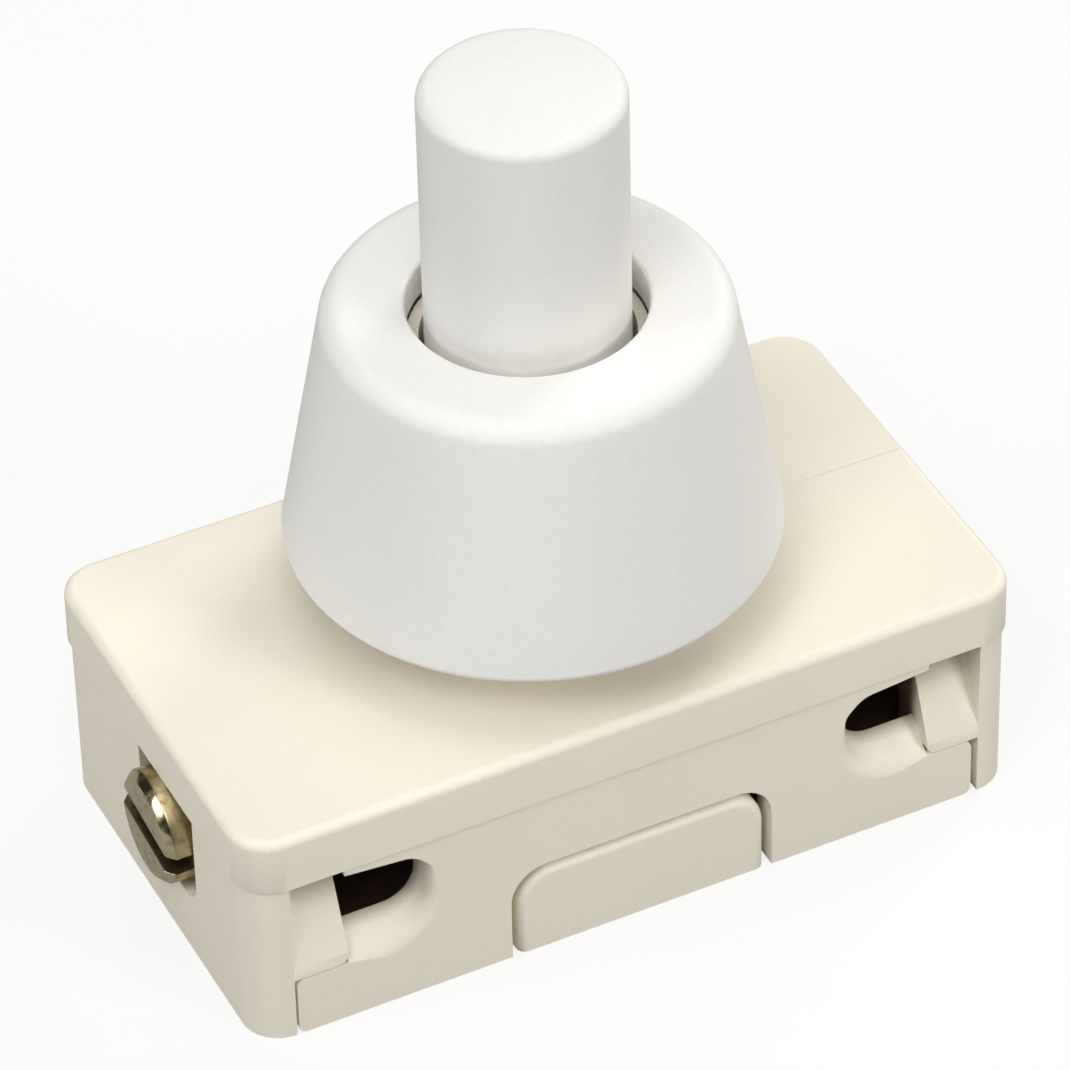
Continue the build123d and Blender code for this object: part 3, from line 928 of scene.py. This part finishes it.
@dataclass
class TaperedNut(Assembly):
    """The white nut: a cone with a rounded top, hollow below, with ribs."""

    top_radius: float = 7.5 * MM
    top_round: float = 0.95 * MM
    foot_round: float = 0.3 * MM
    mouth_radius: float = 4.46 * MM
    mouth_round: float = 0.16 * MM
    lip: float = 1.4 * MM
    bore_radius: float = 5.05 * MM
    bore_round: float = 0.15 * MM
    hub_wall: float = 1.25 * MM
    wall: float = 1.4 * MM
    rim_round: float = 0.12 * MM
    hollow: float = 8.2 * MM
    roof_round: float = 0.25 * MM
    rib: float = 1.0 * MM
    rib_sink: float = 0.2 * MM
    ribs: int = 4
    segments: int = 256
    wall_rows: int = 6
    crease: float = 40.0

    def build(self) -> None:
        """Build the nut and its ribs as one piece."""
        low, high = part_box("cone_nut")
        height = high.z - low.z
        base_radius = high.x
        slope = (base_radius - self.top_radius) / height
        hub = self.bore_radius + self.hub_wall
        inner = base_radius - self.wall
        roof = low.z + self.hollow
        rises = (height * (row + 1) / (self.wall_rows + 1) for row in range(self.wall_rows))
        outline = rounded_outline([
            (self.bore_radius, low.z, self.bore_round),
            (hub, low.z, self.rim_round),
            (hub, roof, self.roof_round),
            (inner - slope * self.hollow, roof, self.roof_round),
            (inner, low.z, self.rim_round),
            (base_radius, low.z, self.foot_round),
            *((base_radius - slope * rise, low.z + rise, 0.0) for rise in rises),
            (self.top_radius, high.z, self.top_round),
            (self.mouth_radius, high.z, self.mouth_round),
            (self.mouth_radius, high.z - self.lip, 0.0),
            (self.bore_radius, high.z - self.lip, 0.0),
        ])
        shape = lathed(outline, self.segments)
        side = (
            (hub - self.rib_sink, low.z + self.rib),
            (inner - slope * self.rib + self.rib_sink, low.z + self.rib),
            (inner - slope * self.hollow + self.rib_sink, roof + self.rib_sink),
            (hub - self.rib_sink, roof + self.rib_sink),
        )
        for number in range(self.ribs):
            self.add_rib(shape, math.tau * number / self.ribs, side)
        nut = smooth(new_piece("cone_nut_dressed", shape), self.crease)
        self.dress(nut, Slot.WHITE, Body.NUT, "cone_nut")

    def add_rib(self, shape: bmesh.types.BMesh, turn: float, side: Sequence[Point]) -> None:
        """Add one rib between the hub and the wall.

        Args:
            shape: The nut's mesh, changed in place.
            turn: Direction of the rib, in radians.
            side: Corners of the rib's side, as radius and height.
        """
        spin = Matrix.Rotation(turn, 4, "Z")
        near, far = (
            [shape.verts.new(spin @ Vector((radius, y, height))) for radius, height in side]
            for y in (-self.rib / 2, self.rib / 2))
        faces = [shape.faces.new(near), shape.faces.new(far[::-1])]
        for index in range(len(side)):
            following = (index + 1) % len(side)
            faces.append(shape.faces.new((near[following], near[index], far[index], far[following])))
        bmesh.ops.recalc_face_normals(shape, faces=faces)


@dataclass
class PushButton(Assembly):
    """The long white button and the spring below it."""

    radius: float = 3.8 * MM
    bore_radius: float = 2.95 * MM
    core_radius: float = 2.2 * MM
    rim_z: float = 10.3 * MM
    cap: float = 1.6 * MM
    dome_rise: float = 0.3 * MM
    edge_round: float = 0.55 * MM
    wall_rows: tuple[float, ...] = (0.35, 0.7, 1.0)
    segments: int = 160
    crease: float = 40.0
    leg_cut: float = 0.002 * MM
    leg_weld: float = 0.0001 * MM
    wire_radius: float = 0.28 * MM
    wire_sides: int = 12
    wire_crease: float = 60.0
    coil_radius: float = 2.42 * MM
    turns: float = 4.0
    steps_per_turn: int = 48

    def build(self) -> None:
        """Build the button and the spring."""
        shape = lathed(self.shell_outline(), self.segments)
        self.add_legs(shape)
        button = smooth(new_piece("push_button_dressed", shape), self.crease)
        self.dress(button, Slot.WHITE, Body.BUTTON, "push_button")
        spring = smooth(new_piece("return_spring_dressed", skinned(self.coil_rings())), self.wire_crease)
        self.dress(spring, Slot.SPRING, Body.BUTTON, "return_spring")
        low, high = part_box("return_spring")
        travel = next(joint for joint in frame["joints"] if joint["name"] == "button_press")["range_m"][1]
        height = high.z - low.z
        1 - travel / height
        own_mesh(spring)

    def shell_outline(self) -> list[Point]:
        """Half section of the hollow button, with its domed top and rounded edge.

        Returns:
            Radius and height of its points.
        """
        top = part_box("push_button")[1].z
        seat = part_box("return_spring")[1].z
        dome_radius = (self.radius**2 + self.dome_rise**2) / (2 * self.dome_rise)
        dome_z = top - dome_radius
        reach = self.radius - self.edge_round
        inner = dome_radius - self.edge_round
        lean = math.acos(reach / inner)
        return [
            (0.0, top - self.cap),
            (self.core_radius, top - self.cap),
            (self.core_radius, seat),
            (self.bore_radius, seat),
            (self.bore_radius, self.rim_z),
            (self.radius, self.rim_z),
            *((self.radius, self.rim_z + (seat - self.rim_z) * share) for share in self.wall_rows),
            *arc((reach, dome_z + math.sqrt(inner**2 - reach**2)), self.edge_round, 0.0, lean),
            *arc((0.0, dome_z), dome_radius, lean, math.pi / 2)[1:-1],
            (0.0, top),
        ]

    def add_legs(self, shape: bmesh.types.BMesh) -> None:
        """Take the legs over from the solid.

        Args:
            shape: The button's mesh, changed in place.
        """
        legs = self.joined("push_button")
        bmesh.ops.bisect_plane(
            legs, geom=[*legs.verts, *legs.edges, *legs.faces], dist=self.leg_weld,
            plane_co=(0, 0, self.rim_z - self.leg_cut), plane_no=(0, 0, 1), clear_outer=True)
        bmesh.ops.holes_fill(legs, edges=[edge for edge in legs.edges if edge.is_boundary])
        mesh = bpy.data.meshes.new("button_legs")
        legs.to_mesh(mesh)
        legs.free()
        shape.from_mesh(mesh)
        bpy.data.meshes.remove(mesh)

    def coil_rings(self) -> Iterator[list[tuple[float, float, float]]]:
        """Rings round the wire of the open-ended coil spring.

        Yields:
            The points of each ring.
        """
        low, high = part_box("return_spring")
        foot = low.z + self.wire_radius
        rise = high.z - low.z - 2 * self.wire_radius
        steps = int(self.turns * self.steps_per_turn)
        sides = [math.tau * side / self.wire_sides for side in range(self.wire_sides)]
        for step in range(steps + 1):
            z = foot + rise * step / steps
            turn = math.tau * self.turns * step / steps
            yield [
                turned(self.coil_radius + self.wire_radius * math.cos(side), turn,
                       z + self.wire_radius * math.sin(side))
                for side in sides]


@dataclass
class Terminals(Assembly):
    """Cages, pressure plates and slotted screws at both ends."""

    edge: EdgeBreak = EdgeBreak(width=0.05 * MM)

    def build(self) -> None:
        """Build both ends."""
        ends = (("left_", Body.LEFT_CLAMP, Body.LEFT_SCREW), ("right_", Body.RIGHT_CLAMP, Body.RIGHT_SCREW))
        for prefix, clamp, screw in ends:
            parts = (
                ("terminal_cage", Slot.BRASS, Body.HOUSING),
                ("fixed_contact", Slot.BRASS, Body.HOUSING),
                ("fixed_rivet", Slot.SILVER, Body.HOUSING),
                ("pressure_plate", Slot.NICKEL, clamp),
                ("terminal_screw", Slot.NICKEL, screw),
            )
            for name, slot, body in parts:
                node = prefix + name
                self.dress(self.softened(node, self.edge), slot, body, node)


@dataclass
class Ratchet(Assembly):
    """Rotor with its washer, and the bridge with its two rivets."""

    edge: EdgeBreak = EdgeBreak(width=0.03 * MM, segments=1)

    def build(self) -> None:
        """Build the pieces that turn with the rotor."""
        parts = {
            "ratchet_rotor": Slot.ROTOR,
            "spring_washer": Slot.SPRING,
            "contact_bridge": Slot.BRASS,
            "left_bridge_rivet": Slot.SILVER,
            "right_bridge_rivet": Slot.SILVER,
        }
        for node, slot in parts.items():
            self.dress(self.softened(node, self.edge), slot, Body.ROTOR, node)


def direction(azimuth: float, elevation: float) -> Vector:
    """Unit vector from the switch towards a place round it.

    Args:
        azimuth: Degrees from the front, towards the right.
        elevation: Degrees above the floor.

    Returns:
        The vector.
    """
    turn, lift = math.radians(azimuth), math.radians(elevation)
    return Vector((math.sin(turn) * math.cos(lift), -math.cos(turn) * math.cos(lift), math.sin(lift)))


@dataclass
class PhotoCamera:
    """Camera at the photograph's viewpoint."""

    azimuth: float = -25.4657
    elevation: float = 40.5410
    roll: float = -1.5213
    focal_pixels: float = 6832.04
    frame_pixels: float = 1070.0
    distance: float = 255.74 * MM
    target_height: float = 10.137 * MM
    target_right: float = 0.0158 * MM
    target_up: float = 1.3630 * MM
    sensor_mm: float = 36.0
    nearest: float = 10.0 * MM
    farthest: float = 10.0

    def build(self) -> None:
        """Add the camera and make it the scene's own."""
        turn, roll = math.radians(self.azimuth), math.radians(self.roll)
        back = direction(self.azimuth, self.elevation)
        level = Vector((math.cos(turn), math.sin(turn), 0.0))
        upright = back.cross(level)
        right = level * math.cos(roll) + upright * math.sin(roll)
        up = upright * math.cos(roll) - level * math.sin(roll)
        target = Vector((0, 0, self.target_height)) + right * self.target_right + up * self.target_up
        data = bpy.data.cameras.new("photo_camera")
        data.sensor_fit = "HORIZONTAL"
        data.sensor_width = self.sensor_mm
        data.lens = self.focal_pixels / self.frame_pixels * self.sensor_mm
        data.clip_start = self.nearest
        data.clip_end = self.farthest
        camera = bpy.data.objects.new("photo_camera", data)
        bpy.context.scene.collection.objects.link(camera)
        facing = Matrix((right, up, back)).transposed().to_4x4()
        camera.matrix_world = Matrix.Translation(target + back * self.distance) @ facing
        bpy.context.scene.camera = camera


@dataclass(frozen=True)
class SoftBox:
    """One round lamp, aimed at the middle of the switch.

    Its level is the share of full brightness that it alone gives a white face turned to it.
    """

    name: str
    azimuth: float
    elevation: float
    level: float
    size: float = 0.20
    distance: float = 0.5
    colour: Colour = WHITE

    def build(self, aim: Vector) -> None:
        """Hang the lamp.

        Args:
            aim: Point that it faces.
        """
        away = direction(self.azimuth, self.elevation)
        data = bpy.data.lights.new(self.name, "AREA")
        data.shape = "DISK"
        data.size = self.size
        data.energy = self.level * (math.pi * self.distance) ** 2
        data.color = self.colour
        lamp = bpy.data.objects.new(self.name, data)
        bpy.context.scene.collection.objects.link(lamp)
        lamp.location = aim + away * self.distance
        lamp.rotation_mode = "QUATERNION"
        lamp.rotation_quaternion = away.to_track_quat("Z", "Y")


@dataclass
class Studio:
    """Pale floor, white surroundings and soft lamps.

    The floor looks white from the camera and throws back less light onto the part.
    """

    floor_size: float = 1.2
    floor_cells: int = 8
    floor_white: float = 0.90
    floor_bounce: float = 0.35
    floor_glow: float = 0.78
    floor_roughness: float = 0.9
    paper_size: float = 30.0 * MM
    paper_share: float = 0.02
    ambient: Colour = (0.02, 0.02, 0.02)
    warm: Colour = (1.0, 0.98, 0.945)
    mild: Colour = (1.0, 0.995, 0.985)
    aim_height: float = 12.0 * MM

    def build(self) -> None:
        """Set up the floor, the world and the lamps."""
        self.lay_floor()
        self.light_world()
        lamps = (
            SoftBox("right_front", 30.0, 25.0, level=0.41, colour=self.warm),
            SoftBox("left_side", -95.0, 25.0, level=0.32, colour=self.mild),
            SoftBox("right_back", 120.0, 25.0, level=0.41, colour=self.warm),
            SoftBox("left_front", -55.0, 52.0, level=0.26),
            SoftBox("front", -20.0, 52.0, level=0.11),
            SoftBox("overhead", 0.0, 88.0, level=0.38, size=0.45),
        )
        for lamp in lamps:
            lamp.build(Vector((0, 0, self.aim_height)))
        bpy.context.scene.view_settings.view_transform = "Standard"

    def lay_floor(self) -> None:
        """Lay a pale floor that keeps a soft shadow."""
        shape = bmesh.new()
        bmesh.ops.create_grid(
            shape, x_segments=self.floor_cells, y_segments=self.floor_cells, size=self.floor_size / 2)
        floor = new_piece("floor", shape)
        graph = SurfaceGraph("pale_floor")
        seen = graph.seen_rays()
        paper = 1 - graph.noise(self.paper_size, detail=2) * self.paper_share
        bounced, white = shaded(WHITE, self.floor_bounce), shaded(WHITE, self.floor_white)
        graph.set(Base_Color=graph.blend(seen * paper, bounced, white), Roughness=self.floor_roughness)
        glow = graph.node("ShaderNodeEmission", links={"Color": (*WHITE, 1), "Strength": 1.0})
        mixed = graph.node("ShaderNodeMixShader", links={
            0: seen * self.floor_glow, 1: graph.shader.outputs["BSDF"], 2: glow.outputs["Emission"]})
        graph.feed(graph.end.inputs["Surface"], mixed.outputs["Shader"])
        floor.data.materials.append(graph.material)

    def light_world(self) -> None:
        """Faint, even light all round, which the camera sees as white."""
        world = bpy.data.worlds.new("white_room")
        bpy.context.scene.world = world
        world.use_nodes = True
        graph = Graph(world.node_tree)
        backdrop = graph.blend(graph.seen_rays(), self.ambient, WHITE)
        sky = graph.node("ShaderNodeBackground", links={"Color": backdrop})
        graph.node("ShaderNodeOutputWorld", links={"Surface": sky.outputs["Background"]})


def make_finishes() -> dict[Slot, bpy.types.Material]:
    """Make one material for each slot.

    Returns:
        The materials by slot.
    """
    screw_low, screw_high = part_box("left_terminal_screw")
    axis = (screw_low + screw_high) / 2
    # Brass darker than clean brass, with dark tarnish patches: partly real tarnish, partly painted shade for
    # the dark inside of the body
    brass = linear(148, 112, 66)
    finishes = {
        Slot.IVORY: MouldedPlastic(
            "ivory_moulding", linear(249, 243, 226), roughness=0.55,
            grain_size=0.14 * MM, grain_depth=0.006 * MM, hollow=PaintedHollowShade()),
        Slot.WHITE: MouldedPlastic(
            "white_moulding", linear(243, 242, 238), roughness=0.58,
            grain_size=0.20 * MM, grain_depth=0.012 * MM, cloud_share=0.015, grain_share=0.04),
        Slot.ROTOR: MouldedPlastic(
            "grey_acetal", linear(150, 152, 150), roughness=0.40,
            grain_size=0.10 * MM, grain_depth=0.003 * MM),
        Slot.SPRING: BareMetal(
            "drawn_steel_wire", linear(205, 205, 208), tarnish=linear(140, 140, 142),
            roughness=0.25, stretch=(8.0, 8.0, 1.0)),
        Slot.BRASS: BareMetal("aged_and_shaded_brass_strip", brass, tarnish=shaded(brass, 0.25), roughness=0.34),
        Slot.SILVER: BareMetal(
            "contact_silver", linear(232, 232, 228), tarnish=linear(170, 168, 160), roughness=0.28),
        Slot.NICKEL: PlatedScrew(
            "yellowed_nickel", linear(224, 213, 172), tarnish=linear(150, 126, 72),
            roughness=0.14, axis_y=axis.y, axis_z=axis.z),
    }
    return {slot: finish.build() for slot, finish in finishes.items()}


def main() -> None:
    """Build the switch and its studio."""
    logging.basicConfig(level=logging.INFO, format="%(name)s: %(message)s")
    finishes = make_finishes()
    for assembly in (SwitchBody, TaperedNut, PushButton, Terminals, Ratchet):
        assembly(finishes).build()
    PhotoCamera().build()
    Studio().build()


if __name__ == "__main__":
    main()
